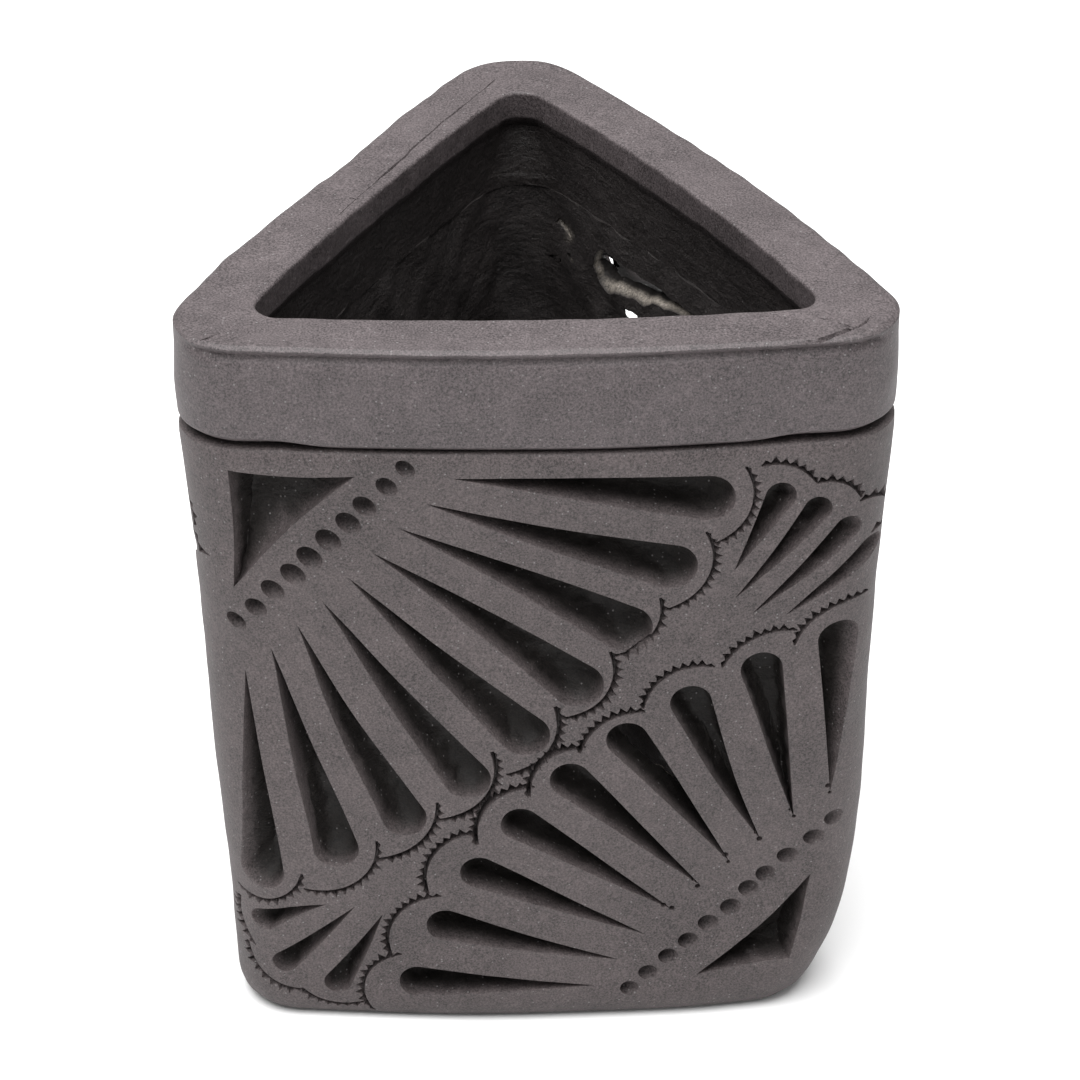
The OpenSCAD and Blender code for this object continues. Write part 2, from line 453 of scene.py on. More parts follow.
def add_triangle(bm, k, square, ends, crease, deep, steep):
    """A chip-carved triangle: steep edges, and a floor sloping to a crease close to its upright leg."""
    corners = [np.array(square), np.array(ends[0]), np.array(ends[1])]
    hollow = (0.5, 0.9, 0.5)
    top = []
    for i in range(3):
        a, b = corners[i], corners[(i + 1) % 3]
        inward = sum(corners) / 3 - (a + b) / 2
        inward = inward / np.linalg.norm(inward)
        for j in range(20):
            t = j / 20
            top.append(a + (b - a) * t + inward * hollow[i] * math.sin(math.pi * t))
    c0, c1 = np.array(crease[0]), np.array(crease[1])
    reach = c1 - c0
    rings = []
    for t, lift in ((0.0, 1.5), (0.0, 0.2)) + tuple((t, None) for t in (0.02, 0.06, 0.14, 0.3, 0.5, 0.7, 0.86, 0.97)):
        ring = []
        for p in top:
            share = np.clip((p - c0) @ reach / (reach @ reach), 0, 1)
            q = c0 + reach * share
            depth = deep[0] + (deep[1] - deep[0]) * share
            x, z = p + (q - p) * t
            ring.append(on_wall(k, x, z, lift if lift is not None else -depth * t ** steep))
        rings.append(ring)
    add_loft(bm, rings)


def add_nicks(bm, k):
    """Small torn places where the blade left the tips of the lower large petals."""
    for tip, end, _ in petals_of("lower")[3:]:
        along = (end - tip) / np.linalg.norm(end - tip)
        across = np.array([-along[1], along[0]])
        for step in (0.3, 1.7):
            x, z = tip + along * step + across * rng.uniform(-0.4, 0.4)
            size = rng.uniform(0.25, 0.5)
            for v in bmesh.ops.create_icosphere(bm, subdivisions=2, radius=1.0)["verts"]:
                v.co = on_wall(k, x + v.co.x * size, z + v.co.y * size, v.co.z * 1.3)


# Rows of dots: how many, first and last place, which way they fade in degrees, size, how much larger
# in the middle of the row, length
DOT_ROWS = [
    (10, (-18.2, 99.2), (-43.1, 73.1), -48, 0.84, 0.26, 1.7),
    (11, (13.9, 5.8), (42.7, 35.8), -15, 0.98, 0.10, 1.3),
]
DOT_DRIFT = 0.15

# Triangles: square corner, other corners, the crease's ends, depth at those ends, steepness of the edges
TRIANGLES = [
    ((-42.9, 98.6), ((-43.2, 79.0), (-25.2, 98.2)), ((-40.3, 95.6), (-42.5, 83.0)), (6.8, 3.6), 0.42),
    ((39.3, 9.3), ((39.9, 25.9), (24.2, 7.8)), ((38.0, 11.6), (39.2, 20.0)), (7.2, 6.6), 0.25),
]


def carve(bm, k):
    for fan in FANS:
        shallow = {"upper": 1.0, "lower": 1.06}.get(fan, 0.78)
        for tip, end, half in petals_of(fan):
            add_petal(bm, k, tip, end, half, shallow, 0.35 if fan == "lower" else 1.0)
    for count, first, last, fading, size, swell, reach in DOT_ROWS:
        for i in range(count):
            t = i / (count - 1)
            p = np.array(first) * (1 - t) + np.array(last) * t + rng.normal(size=2) * DOT_DRIFT
            add_dot(bm, k, p, polar(1, math.radians(fading)), size + swell * math.sin(math.pi * t), reach)
    for triangle in TRIANGLES:
        add_triangle(bm, k, *triangle)


# ---------------------------------------------------------------- the toothed lines

# Each arc of a toothed line: its first place, one on its way and its last, across and up the wall
SCALLOPS = [
    ((28.4, 98.8), (29.7, 93.8), (23.9, 86.3)),
    ((22.9, 88.4), (24.2, 82.6), (17.7, 75.5)),
    ((16.9, 77.6), (15.8, 70.8), (10.4, 68.0)),
    ((10.1, 68.6), (9.4, 60.5), (3.2, 57.2)),
    ((2.3, 59.3), (1.2, 50.8), (-4.8, 47.1)),
    ((-6.9, 51.3), (-8.1, 42.5), (-14.6, 39.0)),
    ((-15.0, 42.1), (-17.8, 34.5), (-24.0, 31.7)),
    ((-24.2, 34.9), (-27.9, 26.5), (-35.4, 25.4)),
    ((-35.6, 28.2), (-39.5, 23.0), (-45.5, 23.1)),
    ((-25.3, 1.5), (-26.7, 8.3), (-21.0, 13.2)),
    ((-22.4, 12.5), (-21.9, 20.3), (-14.8, 24.5)),
    ((-16.7, 24.9), (-15.6, 32.8), (-9.5, 36.6)),
    ((-9.2, 34.2), (-7.6, 41.6), (-0.7, 44.8)),
    ((-1.5, 43.0), (0.2, 49.0), (6.7, 51.9)),
    ((5.8, 50.8), (9.4, 56.4), (15.2, 58.0)),
    ((14.9, 58.5), (17.7, 63.7), (25.1, 65.3)),
    ((26.1, 65.1), (30.0, 69.5), (36.7, 70.7)),
    ((36.4, 68.1), (39.9, 73.2), (47.1, 74.6)),
    ((30.6, 98.8), (35.4, 98.3), (38.5, 95.3)),
    ((38.5, 95.3), (42.9, 94.7), (45.0, 91.7)),
    ((44.8, 91.3), (47.5, 90.8), (49.2, 86.1)),
    ((47.0, 84.7), (48.8, 84.5), (49.6, 82.2)),
    ((-45.3, 20.8), (-44.9, 15.6), (-43.1, 12.6)),
    ((-44.3, 12.7), (-41.6, 7.4), (-36.0, 5.6)),
    ((-36.3, 5.8), (-32.3, 3.2), (-26.3, 3.9)),
]


def circle_through(p, q, r):
    """Centre and radius of the circle through three places, and the angles of its first and last."""
    p, q, r = (np.array(v, float) for v in (p, q, r))
    sides = 2 * np.array([q - p, r - p])
    centre = np.linalg.solve(sides, [q @ q - p @ p, r @ r - p @ p])
    start, middle, end = (heading(v - centre) for v in (p, q, r))
    turn = (end - start) % (2 * math.pi)
    if (middle - start) % (2 * math.pi) > turn:
        turn -= 2 * math.pi
    return centre, np.linalg.norm(p - centre), start, turn


# Height and spacing of the teeth
TOOTH, PITCH = 1.0, 1.3


def add_toothed_line(bm, k, arc, width, depth):
    """A scratched arc that starts with a hooked stab and has a row of small chips along its outer side."""
    centre, radius, start, turn = circle_through(*arc)
    teeth = max(3, round(abs(turn) * radius / PITCH))
    steps = teeth * 4
    sizes = rng.uniform(0.75, 1.2, teeth)
    inner, outer, floor_in, floor_out, depths = [], [], [], [], []
    for i in range(steps + 1):
        t = i / steps
        a = start + turn * t
        fade = min(1.0, 5 * (t + 0.04), 5 * (1.04 - t))
        hook = float(np.clip(1 - t * 5, 0, 1))
        saw = (0.0, 0.35, 1.0, 0.45)[i % 4] * sizes[min(i // 4, teeth - 1)] if 0 < i < steps else 0
        line = width * (0.35 + 0.65 * fade) * (1 + 0.6 * hook)
        inner.append(centre + polar(radius - line / 2, a))
        outer.append(centre + polar(radius + line / 2 + TOOTH * saw * fade, a))
        floor_in.append(centre + polar(radius - line * 0.12, a))
        floor_out.append(centre + polar(radius + line * 0.2 + TOOTH * saw * fade * 0.25, a))
        depths.append(depth * (0.6 + 0.4 * fade + 0.5 * hook))
    rings = []
    for side_in, side_out, lift in ((inner, outer, 0.8), (inner, outer, 0.02), (floor_in, floor_out, None)):
        places = list(zip(side_in + side_out[::-1], depths + depths[::-1]))
        rings.append([on_wall(k, x, z, -deep if lift is None else lift) for (x, z), deep in places])
    add_loft(bm, rings)


def add_groove(bm, path, up, width, depth):
    """A scratch along a path of places, open towards up and narrowing to nothing at its ends."""
    up = np.array(up, float)
    up = up / np.linalg.norm(up)
    path = np.array(path, float)
    rings = []
    for i, p in enumerate(path):
        along = path[min(i + 1, len(path) - 1)] - path[max(i - 1, 0)]
        across = np.cross(along, up)
        across = across / np.linalg.norm(across)
        share = 0.15 + 0.85 * math.sin(math.pi * i / (len(path) - 1)) ** 0.5
        w, d = width * share / 2, depth * share
        rings.append([p - across * w + up * 0.5, p - across * w, p - up * d, p + across * w, p + across * w + up * 0.5])
    add_loft(bm, rings)


def drawn(ends, steps, wander):
    """A hand-drawn path through some places."""
    ends = np.array(ends, float)
    at = np.linspace(0, len(ends) - 1, steps)
    path = np.stack([np.interp(at, range(len(ends)), ends[:, i]) for i in range(ends.shape[1])], axis=1)
    drift = np.cumsum(rng.normal(size=path.shape), axis=0)
    return path + (drift - drift.mean(axis=0)) * wander / math.sqrt(steps)


# ---------------------------------------------------------------- the body in one piece

def body_block():
    """Walls, base and coils as one skin of clay, before it is carved."""
    foot = [(0.0, 0.075), (0.35, 0.048), (1.0, 0.028), (2.2, 0.011), (3.6, 0.003), (4.8, 0.0)]
    hollow = [(BASE, 0.15), (BASE + 0.35, 0.11), (BASE + 1.0, 0.075), (BASE + 2.4, 0.03), (BASE + FOOT_COIL, 0.006)]
    inside = CORNER_R - WALL
    heights = np.arange(6.0, WALL_TOP - 1.0, GRID)
    rings = [ring_at(CORNER_R, CORNER_R, 0.0, size * taper(0) * 0.925) for size in (0.3, 0.7, 0.97)]
    rings += [ring_at(CORNER_R, CORNER_R, z, taper(z) - inset) for z, inset in foot]
    rings += [ring_at(CORNER_R, CORNER_R, z) for z in heights]
    edge = ((0.1, 0.5), (0.35, 0.22), (0.8, 0.06), (1.5, 0.01), (3.0, 0.02), (4.5, 0.04), (6.2, 0.08), (WALL, 0.25))
    coil = (CORNER_R - COIL_R) / WALL
    rings += [ring_at(CORNER_R - lost, CORNER_R - lost * coil, WALL_TOP - down) for lost, down in edge]
    rings += [ring_at(inside, COIL_R, z) for z in heights[::-1] if BASE + 6 < z < WALL_TOP - 1]
    rings += [ring_at(inside, COIL_R, z, taper(z) - inset) for z, inset in hollow[::-1]]
    floor = np.arange(0.94, 0.05, -GRID / 24)
    rings += [ring_at(inside, COIL_R, BASE, (taper(BASE) - 0.15) * size) for size in floor]
    return loft("block", rings)


def rough_tool(bm, amount=0.08):
    """A cutter put where the uneven wall is, its deeper parts left rough by the blade."""
    tool = finish_bmesh(bm, "carving")
    co = co_of(tool)
    deep = smoothstep(depth_in(co), 0.15, 2.2)[:, None]
    co = co + deep * (sway(co, BLADE_WAVES, amount * 3) + rng.normal(size=co.shape) * amount * 0.2)
    set_co(tool, uneven(co))
    return tool


# Breaks through petals: wall, tip, end, half width
SLITS = [(RIGHT, (-5, 97.4), (25.6, 94.0), 1.9), (FRONT, (20.5, 41), (13.0, 52.6), 1.3)]

# Slanting holes through the right wall: places across, up and into it, then half width and height
CHANNELS = [
    (((18.6, 97.4, 9.5), (22.2, 95.1, 7.0), (25.1, 93.4, 5.0), (28.0, 91.7, 3.0), (30.2, 90.4, 1.4)), 2.2, 0.65),
    (((12.6, 90.3, 9.5), (16.2, 88.1, 7.0), (19.1, 86.2, 5.0), (22.0, 84.4, 3.0), (26.9, 81.3, -0.5)), 2.2, 0.75),
]

# Small torn pits on the inside of the right wall: across, up, half length
PITS = [(34.5, 96, 2.0), (36, 90, 1.1), (40.5, 91, 1.4), (31, 91.5, 0.8), (12.6, 88.6, 1.2)]

# Where the clay is freshly torn: wall, across, up, reach across, reach up
TEARS = [(RIGHT, 10, 94, 18, 5.5), (FRONT, 17, 46.7, 8, 8)]
TEARS += [(RIGHT, x, z, size + 1.0, size + 1.0) for x, z, size in PITS]


def carved_body():
    body = body_block()
    co = co_of(body)
    inside = smoothstep(depth_in(co), 6.8, 7.4)[:, None]
    skin = 1 - smoothstep(depth_in(co), 0.2, 1.2)[:, None]
    above_foot = smoothstep(co[:, 2], 2, 6)[:, None]
    co = co + above_foot * (inside * sway(co, PRESS_WAVES, 0.6) + skin * sway(co, PRESS_WAVES, 0.1))
    set_co(body, uneven(co))
    for k in WALLS:
        bm = bmesh.new()
        carve(bm, k)
        body = cut(body, rough_tool(bm))
    bm = bmesh.new()
    for slit in SLITS:
        add_slit(bm, *slit)
    body = cut(body, rough_tool(bm))
    bm = bmesh.new()
    for k in WALLS:
        add_nicks(bm, k)
    body = cut(body, rough_tool(bm, 0.2))
    bm = bmesh.new()
    for path, wide, tall in CHANNELS:
        add_channel(bm, RIGHT, path, wide, tall)
    body = cut(body, rough_tool(bm))
    bm = bmesh.new()
    for x, z, size in PITS:
        made = bmesh.ops.create_icosphere(bm, subdivisions=3, radius=1.0)["verts"]
        for v in made:
            v.co = on_wall(RIGHT, x + v.co.x * size, z + v.co.y * size * 0.7, -WALL + v.co.z * 0.9)
    return cut(body, rough_tool(bm, 0.4))


LINE_WIDTH, LINE_DEPTH = 0.46, 1.3


def scratch_lines(body):
    """Cuts the toothed lines, every other one at a time so that neighbours may meet."""
    batches = [bmesh.new() for _ in range(2)]
    for k in WALLS:
        for i, arc in enumerate(SCALLOPS):
            heavy = 1 + 0.55 * math.exp(-((arc[1][0] + 3) / 16) ** 2) * (20 < arc[1][1] < 75)
            add_toothed_line(batches[i % 2], k, arc, LINE_WIDTH * heavy, LINE_DEPTH * heavy)
    for bm in batches:
        tool = finish_bmesh(bm, "line")
        set_co(tool, uneven(co_of(tool)))
        body = cut(body, tool)
    return body


# ---------------------------------------------------------------- dividing it into its pieces

def prism(name, flat, low, high):
    return loft(name, [[(x, y, z) for x, y in flat] for z in (low, high)])


def side_share(k):
    """The part of the plan that belongs to side k, between two mitre planes."""
    a, b = (MIDDLE + 4 * (c - MIDDLE) for c in SIDES[k].ends)
    return prism("share", [MIDDLE, a, b], -5, 130)


def core(low, high):
    """The clay just inside the joint faces of the wall slabs, and the space it encloses."""
    off = CORNER_R - WALL + 1.1
    rings = [ring_at(off, COIL_R, z) for z in np.linspace(low, high, 24)]
    block = loft("core", rings)
    set_co(block, uneven(co_of(block)))
    return block


def corner_block(k, low, high):
    """A block round the inside of corner k."""
    way = heading(CORNERS[k] - MIDDLE)
    start = CORNERS[k] - polar(3.2, way)
    side = polar(14, way + math.pi / 2)
    far = polar(30, way)
    return prism("corner", [start - side, start - side + far, start + side + far, start + side], low, high)


def base_share():
    """Everything up to the base's top, and the unevenness on top of it between the foot coils."""
    off, size = CORNER_R - WALL, taper(BASE) - 0.17
    wide = [ring_at(CORNER_R + 5, CORNER_R, z, 1.0) for z in (-5, BASE)]
    return loft("base", wide + [ring_at(off, COIL_R, z, size) for z in (BASE + 0.01, BASE + 2.5)])


def slab(low, high):
    return prism("slab", [(-90, -90), (90, -90), (90, 90), (-90, 90)], low, high)


# ---------------------------------------------------------------- finishing a piece

def near_tears(co):
    """One close to a slit or a pit, where the clay is freshly torn, and nothing elsewhere."""
    share = np.zeros(len(co))
    for k, x, z, reach, rise in TEARS:
        away = (co - np.array(on_wall(k, x, z, -WALL))) / (reach, reach, rise)
        share = np.maximum(share, 1 - smoothstep(np.linalg.norm(away, axis=1), 0.8, 1.0))
    return share


# Depths between which the outside turns into the darker-coloured inside, and cuts darken with painted shade
RIM_INSIDE = (6.9, 7.6)
WALL_INSIDE = (7.1, 7.6)
CUT_SHADE_DEPTHS = (0.2, 3.8)
# Depths where torn clay starts and ends
TORN_STARTS = (6.75, 6.95)
TORN_ENDS = (7.45, 7.75)


def finish(name, mesh, node, slot, material):
    co = co_of(mesh)
    plain = co - (uneven(co) - co)
    depth = depth_in(plain)
    if slot == "rim_clay":
        marks = {
            "inside": smoothstep(depth, *RIM_INSIDE) * smoothstep(RIM_TOP - plain[:, 2], 2.5, 7.5),
            "cut": np.zeros(len(co)),
            "torn": np.zeros(len(co)),
        }
    else:
        marks = {
            "inside": smoothstep(depth, *WALL_INSIDE),
            # The cut mark is painted shade: cut faces grow darker the deeper they lie
            "cut": smoothstep(depth, *CUT_SHADE_DEPTHS),
            "torn": smoothstep(depth, *TORN_STARTS) * (1 - smoothstep(depth, *TORN_ENDS)) * near_tears(plain),
        }
    set_co(mesh, co * MM)
    for key, values in marks.items():
        layer = mesh.attributes.new(key, "FLOAT", "POINT")
        layer.data.foreach_set("value", values.astype(np.float32))
    mesh.materials.clear()
    mesh.materials.append(material)
    mesh.name = name
    mesh.shade_smooth()
    mesh.set_sharp_from_angle(angle=math.radians(42))
    obj = bpy.data.objects.new(name, mesh)
    bpy.context.scene.collection.objects.link(obj)
    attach(obj, BODY)
    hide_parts(node)


# ---------------------------------------------------------------- the rim

def fillet(points):
    """A closed profile from (across, up, rounding) corners, with a place about every half millimetre."""
    count = len(points)
    path = []
    for i in range(count):
        a, p, b = (np.array(points[(i + d) % count][:2], float) for d in (-1, 0, 1))
        r = points[i][2]
        if r == 0:
            path.append(p)
            continue
        u, v = (a - p) / np.linalg.norm(a - p), (b - p) / np.linalg.norm(b - p)
        half = math.acos(np.clip(u @ v, -1, 1)) / 2
        cut_back = min(r / math.tan(half), 0.49 * np.linalg.norm(a - p), 0.49 * np.linalg.norm(b - p))
        for j in range(7):
            t = j / 6
            path.append((1 - t) ** 2 * (p + u * cut_back) + 2 * t * (1 - t) * p + t * t * (p + v * cut_back))
    even = []
    for i, p in enumerate(path):
        q = path[(i + 1) % len(path)]
        steps = max(1, round(np.linalg.norm(q - p) / (0.4 * GRID)))
        even += [p + (q - p) * j / steps for j in range(steps)]
    return even


def rim_block():
    """Three strips laid on the walls and smoothed into one."""
    low, high = WALL_TOP, RIM_TOP
    profile = fillet([
        (-1.3, low + 0.05, 0.3), (-0.1, low + 1.0, 0.6), (0.1, low + 7, 2.0), (-0.05, high - 3.6, 1.0),
        (0.0, high - 0.5, 0.2), (-0.8, high - 0.05, 0.4), (-2.9, high - 0.12, 0.8),
        (-LIP, high - 0.15, 0.6), (-LIP + 0.2, high - 4.6, 1.2), (-WALL - 0.6, high - 6.6, 1.0),
        (-WALL - 0.05, low + 2.0, 1.0), (-WALL, low - 0.35, 0),
    ])
    rings = []
    for across, z in profile:
        off = CORNER_R + across
        r = max(off, MOUTH_R + (COIL_R - MOUTH_R) * min(max(low + 9.0 - z, 0.0) / 8.0, 1.0))
        rings.append([(x, y, z) for x, y in outline(off, r, round(110 / GRID), round(30 / GRID))])
    bm = bmesh.new()
    add_loft(bm, rings, closed=True)
    rim = finish_bmesh(bm, "rim")
    co = co_of(rim)
    depth = depth_in(co)
    above = smoothstep(co[:, 2], low + 0.5, low + 4)[:, None]
    # The left strip's outside wanders the most.
    left_side = smoothstep(co[:, 1], -32, -15)[:, None] * (1 - smoothstep(depth, 0.5, 6))[:, None]
    left_side = left_side * (1 - smoothstep(co[:, 0], -8, 10))[:, None]
    co = co + sway(co, PRESS_WAVES, np.array([0.12, 0.12, 0.12])) * above
    co = co + sway(co, BODY_WAVES, np.array([0.8, 0.8, 0.3])) * left_side * above
    # A recess under the ridge along the front strip's top
    on_front = smoothstep(-co[:, 1], 41, 45) * (1 - smoothstep(depth, 0.6, 1.4))
    co[:, 1] += 0.9 * on_front * np.exp(-((co[:, 2] - (high - 1.55)) / 0.65) ** 2)
    # The strips lift off the walls a little at the front corners.
    under = (1 - smoothstep(co[:, 2], low + 0.5, low + 5)) * (1 - smoothstep(depth, 2, 6))
    for k in (0, 1):
        from_corner = np.linalg.norm(co[:, :2] - CORNERS[k], axis=1)
        co[:, 2] += 0.75 * under * np.exp(-((from_corner - CORNER_R) / 3.0) ** 2)
    set_co(rim, uneven(co))
    bm = bmesh.new()
    for path, width, depth in RIM_MARKS:
        add_groove(bm, uneven(drawn(path, steps=30, wander=0.5)), (0, 0, 1), width, depth)
    return cut(rim, finish_bmesh(bm, "marks"))


# Seams and folds left on the top of the rim: places along each, width, depth
RIM_MARKS = [
    (((-29, -8, 118), (-16, 18, 118), (-3.5, 42, 118)), 0.5, 0.5),
    (((-20.5, 1, 118), (-12, 18, 118), (-7, 29, 118)), 0.35, 0.35),
    (((43.5, -43.5, 118), (40.5, -40.5, 118), (38, -39.5, 118)), 0.7, 0.4),
    (((-46, -43.5, 118), (-42.5, -41.5, 118)), 0.5, 0.35),
    (((30, -47.0, 118), (38, -46.0, 118), (44, -42.8, 118), (46.6, -38, 118)), 0.9, 0.6),
    (((-24, -1, 118), (-27.5, -0.5, 118)), 0.4, 0.3),
]


# ---------------------------------------------------------------- materials

def math_node(tree, operation, a, b):
    made = tree.nodes.new("ShaderNodeMath")
    made.operation = operation
    for i, value in enumerate((a, b)):
        if isinstance(value, (int, float)):
            made.inputs[i].default_value = value
        else:
            tree.links.new(value, made.inputs[i])
    return made.outputs[0]


def span(tree, value, low, high, to_low=0.0, to_high=1.0):
    made = tree.nodes.new("ShaderNodeMapRange")
    made.interpolation_type = "SMOOTHSTEP"
    tree.links.new(value, made.inputs["Value"])
    for key, number in (("From Min", low), ("From Max", high), ("To Min", to_low), ("To Max", to_high)):
        made.inputs[key].default_value = number
    return made.outputs["Result"]


def mix(tree, share, a, b, how="MIX"):
    made = tree.nodes.new("ShaderNodeMix")
    made.data_type = "RGBA"
    made.blend_type = how
    made.clamp_factor = True
    for socket, value in ((made.inputs[0], share), (made.inputs[6], a), (made.inputs[7], b)):
        if isinstance(value, (int, float, tuple)):
            socket.default_value = value
        else:
            tree.links.new(value, socket)
    return made.outputs[2]


def noise(tree, place, scale, detail=3.0, rough=0.55, distortion=0.0):
    made = tree.nodes.new("ShaderNodeTexNoise")
    made.inputs["Scale"].default_value = scale
    made.inputs["Detail"].default_value = detail
    made.inputs["Roughness"].default_value = rough
    made.inputs["Distortion"].default_value = distortion
    tree.links.new(place, made.inputs["Vector"])
    return made.outputs["Fac"]


def group(name, inputs, outputs):
    made = bpy.data.node_groups.new(name, "ShaderNodeTree")
    for label, kind in inputs:
        made.interface.new_socket(label, in_out="INPUT", socket_type=kind)
    for label, kind in outputs:
        made.interface.new_socket(label, in_out="OUTPUT", socket_type=kind)
    return made, made.nodes.new("NodeGroupInput"), made.nodes.new("NodeGroupOutput")


def sandy_grain():
    """Mottled clay with fine sand and pale mica flecks: a tint, a fleck mask and a height."""
    tree, inn, out = group(
        "sandy_grain",
        [("Place", "NodeSocketVector")],
        [("Tint", "NodeSocketFloat"), ("Fleck", "NodeSocketFloat"), ("Height", "NodeSocketFloat")],
    )
    place = inn.outputs["Place"]
    clouds = noise(tree, place, 70, 4)
    patches = noise(tree, place, 420, 3)
    sand = noise(tree, place, 3300, 3, 0.75)
    tint = math_node(tree, "ADD", span(tree, clouds, 0.3, 0.7, 0.86, 1.14), span(tree, patches, 0.3, 0.7, -0.10, 0.10))
    tint = math_node(tree, "ADD", tint, span(tree, sand, 0.3, 0.7, -0.62, 0.62))
    cells = tree.nodes.new("ShaderNodeTexVoronoi")
    cells.inputs["Scale"].default_value = 1300
    tree.links.new(place, cells.inputs["Vector"])
    near = span(tree, cells.outputs["Distance"], 0.10, 0.24, 1.0, 0.0)
    chosen = tree.nodes.new("ShaderNodeSeparateColor")
    tree.links.new(cells.outputs["Color"], chosen.inputs[0])
    fleck = math_node(tree, "MULTIPLY", near, span(tree, chosen.outputs[0], 0.6, 0.95))
    pits = noise(tree, place, 900, 2)
    height = math_node(tree, "ADD", math_node(tree, "MULTIPLY", sand, 0.6), math_node(tree, "MULTIPLY", pits, 0.8))
    for source, label in ((tint, "Tint"), (fleck, "Fleck"), (height, "Height")):
        tree.links.new(source, out.inputs[label])
    return tree


def tool_marks():
    """Long shallow strokes of a wet finger or a knife: a height."""
    tree, inn, out = group("tool_marks", [("Place", "NodeSocketVector")], [("Height", "NodeSocketFloat")])
    stretch = tree.nodes.new("ShaderNodeMapping")
    stretch.inputs["Scale"].default_value = (1.0, 1.0, 2.2)
    stretch.inputs["Rotation"].default_value = (0.25, 0.5, 0.0)
    tree.links.new(inn.outputs["Place"], stretch.inputs["Vector"])
    strokes = noise(tree, stretch.outputs[0], 260, 3, 0.6, 0.6)
    tree.links.new(strokes, out.inputs["Height"])
    return tree


GRAIN = sandy_grain()
MARKS = tool_marks()

OUTER = (0.0700, 0.0580, 0.0582, 1)
RIM = (0.0755, 0.0632, 0.0650, 1)
# Painted shade for the depths of the cuts
CUT_SHADE = (0.0155, 0.0130, 0.0120, 1)
TORN = (0.25, 0.222, 0.192, 1)
# A darker colour for the inner faces
DARK_INSIDE = (0.022, 0.0185, 0.018, 1)
FLECKS = (0.17, 0.16, 0.16, 1)


# How far the grain moves the roughness, and the depth of the tool's strokes in metres
SHEEN_SPREAD = 0.06
STROKE_DEPTH = 0.00035


def clay_material(name, outer, roughness, grain_depth):
    material = bpy.data.materials.new(name)
    material.use_nodes = True
    tree = material.node_tree
    shader = tree.nodes["Principled BSDF"]
    place = tree.nodes.new("ShaderNodeTexCoord").outputs["Object"]
    grain = tree.nodes.new("ShaderNodeGroup")
    grain.node_tree = GRAIN
    marks = tree.nodes.new("ShaderNodeGroup")
    marks.node_tree = MARKS
    for made in (grain, marks):
        tree.links.new(place, made.inputs["Place"])
    carved = tree.nodes.new("ShaderNodeAttribute")
    carved.attribute_name = "cut"
    inside = tree.nodes.new("ShaderNodeAttribute")
    inside.attribute_name = "inside"
    # Painted shade: cut faces blend towards the dark cut colour by the cut mark
    tone = mix(tree, carved.outputs["Fac"], outer, CUT_SHADE)
    # The inner faces are coloured darker; on the rim this fades in below its top
    tone = mix(tree, inside.outputs["Fac"], tone, DARK_INSIDE)
    torn = tree.nodes.new("ShaderNodeAttribute")
    torn.attribute_name = "torn"
    tone = mix(tree, torn.outputs["Fac"], tone, TORN)
    tint = tree.nodes.new("ShaderNodeCombineColor")
    for i in range(3):
        tree.links.new(grain.outputs["Tint"], tint.inputs[i])
    tone = mix(tree, 1.0, tone, tint.outputs[0], "MULTIPLY")
    fleck = math_node(tree, "MULTIPLY", grain.outputs["Fleck"], span(tree, inside.outputs["Fac"], 0, 1, 1.0, 0.3))
    tone = mix(tree, fleck, tone, FLECKS)
    tree.links.new(tone, shader.inputs["Base Color"])
    sheen = span(tree, grain.outputs["Tint"], 0.8, 1.2, roughness - SHEEN_SPREAD, roughness + SHEEN_SPREAD)
    tree.links.new(sheen, shader.inputs["Roughness"])
    shader.inputs["Specular IOR Level"].default_value = 0.35
    fine = tree.nodes.new("ShaderNodeBump")
    fine.inputs["Strength"].default_value = 1.0
    fine.inputs["Distance"].default_value = grain_depth
    grit = span(tree, inside.outputs["Fac"], 0, 1, 1.0, 2.6)
    tree.links.new(math_node(tree, "MULTIPLY", grain.outputs["Height"], grit), fine.inputs["Height"])
    broad = tree.nodes.new("ShaderNodeBump")
    broad.inputs["Strength"].default_value = 1.0
    broad.inputs["Distance"].default_value = STROKE_DEPTH
    worked = math_node(tree, "MAXIMUM", carved.outputs["Fac"], inside.outputs["Fac"])
    strokes = math_node(tree, "MULTIPLY", marks.outputs["Height"], span(tree, worked, 0, 1, 0.1, 1.0))
    tree.links.new(strokes, broad.inputs["Height"])
    tree.links.new(fine.outputs["Normal"], broad.inputs["Normal"])
    tree.links.new(broad.outputs["Normal"], shader.inputs["Normal"])
    return material


# Colour, roughness and depth of the grain in metres
outer_clay = clay_material("outer_clay", OUTER, 0.62, 0.00012)
rim_clay = clay_material("rim_clay", RIM, 0.56, 0.00010)
inner_clay = clay_material("inner_clay", DARK_INSIDE, 0.70, 0.00018)

# ---------------------------------------------------------------- building it all

body = scratch_lines(carved_body())
inner = core(-3, WALL_TOP + 3)
heart, body = keep(body, inner), cut(body, inner)
# The skin of the walls goes back to them once the base and the coils have been taken from it.
base = base_share()
finish("base_of_the_pot", keep(heart, base), "base_slab", "inside_clay", inner_clay)
heart = cut(heart, base)
for k, label in ((0, "corner_coil_left"), (1, "corner_coil_right"), (2, "corner_coil_back")):
    block = corner_block(k, -6, 131)
    finish("pressed_" + label, keep(heart, block), label, "inside_clay", inner_clay)
    heart = cut(heart, block)
foot_slab = slab(BASE - 1, BASE + 6.5)
for k, label in ((FRONT, "foot_coil_front"), (RIGHT, "foot_coil_right"), (LEFT, "foot_coil_left")):
    foot = keep(heart, foot_slab)
    finish("pressed_" + label, keep(foot, side_share(k)), label, "inside_clay", inner_clay)
heart = cut(heart, foot_slab)
for k, label in WALLS.items():
    halves = [keep(body, side_share(k)), keep(heart, side_share(k))]
    finish("carved_" + label, joined(halves), label, "clay", outer_clay)
rim = rim_block()
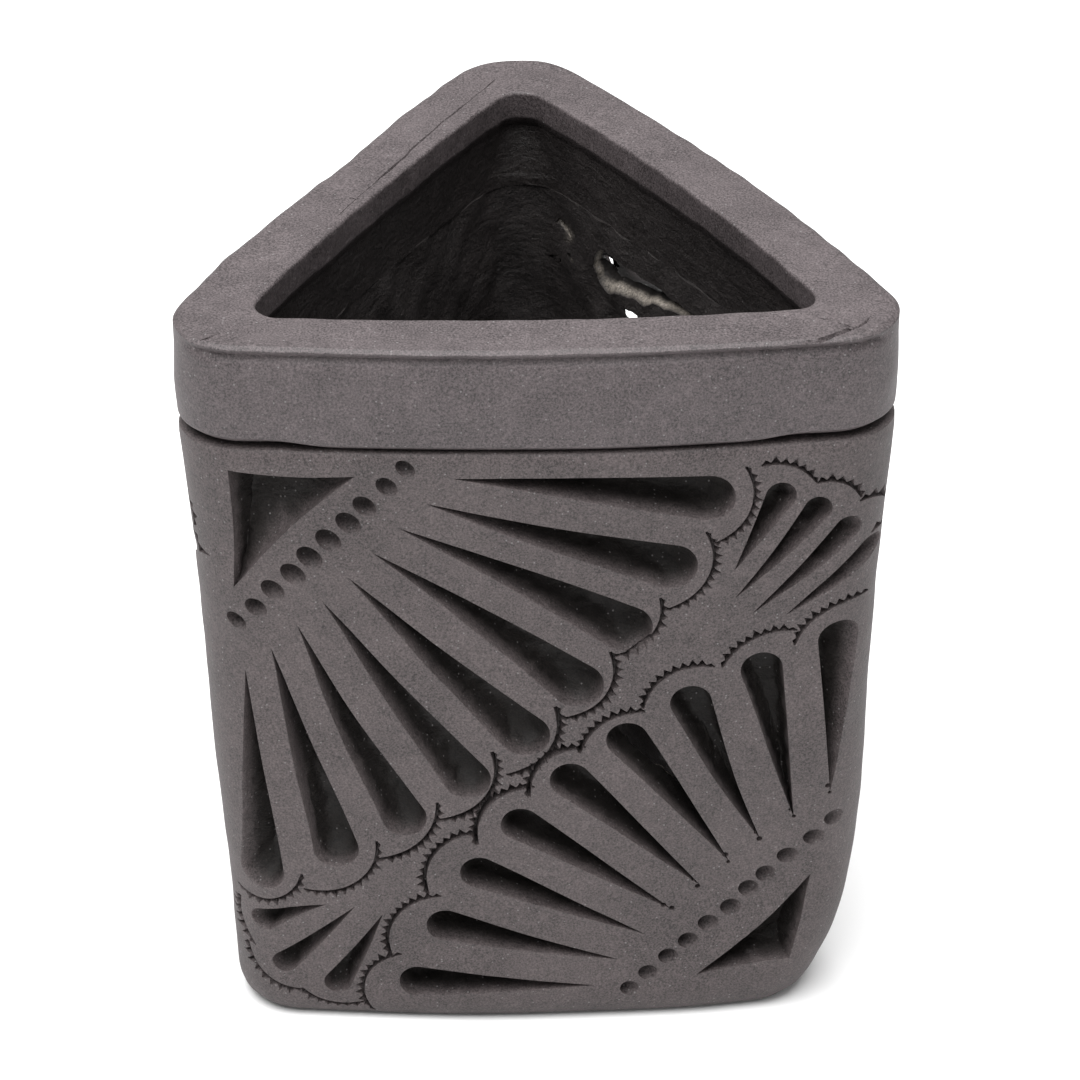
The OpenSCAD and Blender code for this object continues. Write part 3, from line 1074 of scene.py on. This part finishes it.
for k, label in ((FRONT, "rim_front"), (RIGHT, "rim_right"), (LEFT, "rim_left")):
    finish("smoothed_" + label, keep(rim, side_share(k)), label, "rim_clay", rim_clay)

# ---------------------------------------------------------------- floor, light and camera

bm = bmesh.new()
bmesh.ops.create_grid(bm, x_segments=1, y_segments=1, size=6.0)
floor_mesh = bpy.data.meshes.new("floor")
bm.to_mesh(floor_mesh)
bm.free()
floor = bpy.data.objects.new("floor", floor_mesh)
bpy.context.scene.collection.objects.link(floor)
pale = bpy.data.materials.new("pale_floor")
pale.use_nodes = True
pale.node_tree.nodes["Principled BSDF"].inputs["Base Color"].default_value = (0.88, 0.88, 0.88, 1)
pale.node_tree.nodes["Principled BSDF"].inputs["Roughness"].default_value = 0.9
floor_mesh.materials.append(pale)

world = bpy.data.worlds.new("studio")
bpy.context.scene.world = world
world.use_nodes = True
world.node_tree.nodes["Background"].inputs["Color"].default_value = (1, 1, 1, 1)
world.node_tree.nodes["Background"].inputs["Strength"].default_value = 0.4


def softbox(name, place, target, size, watts):
    light = bpy.data.lights.new(name, "AREA")
    light.shape = "SQUARE"
    light.size = size
    light.energy = watts
    obj = bpy.data.objects.new(name, light)
    obj.location = place
    obj.rotation_euler = (Vector(target) - Vector(place)).to_track_quat("-Z", "Y").to_euler()
    bpy.context.scene.collection.objects.link(obj)


POT_MIDDLE = (0, 0, 0.06)
softbox("key", (-0.14, -0.17, 1.1), POT_MIDDLE, 1.2, 30)
softbox("front", (0.3, -1.2, 0.6), POT_MIDDLE, 0.8, 0.6)

scene = bpy.context.scene
scene.view_settings.view_transform = "Standard"
scene.view_settings.look = "None"
scene.view_settings.exposure = 0.0

AZIMUTH, ELEVATION, DISTANCE = math.radians(-1.70), math.radians(31.58), 0.545
AIM = Vector((0, 0, 0.060))
back = Vector((
    math.sin(AZIMUTH) * math.cos(ELEVATION),
    -math.cos(AZIMUTH) * math.cos(ELEVATION),
    math.sin(ELEVATION),
))
camera = bpy.data.cameras.new("camera")
camera.sensor_width = 36.0
camera.lens = 117.2
camera.shift_x = 0.0092
camera.shift_y = -0.0086
camera.clip_start = 0.01
camera.clip_end = 20
eye = bpy.data.objects.new("camera", camera)
eye.location = AIM + back * DISTANCE
eye.rotation_euler = (-back).to_track_quat("-Z", "Y").to_euler()
scene.collection.objects.link(eye)
scene.camera = eye
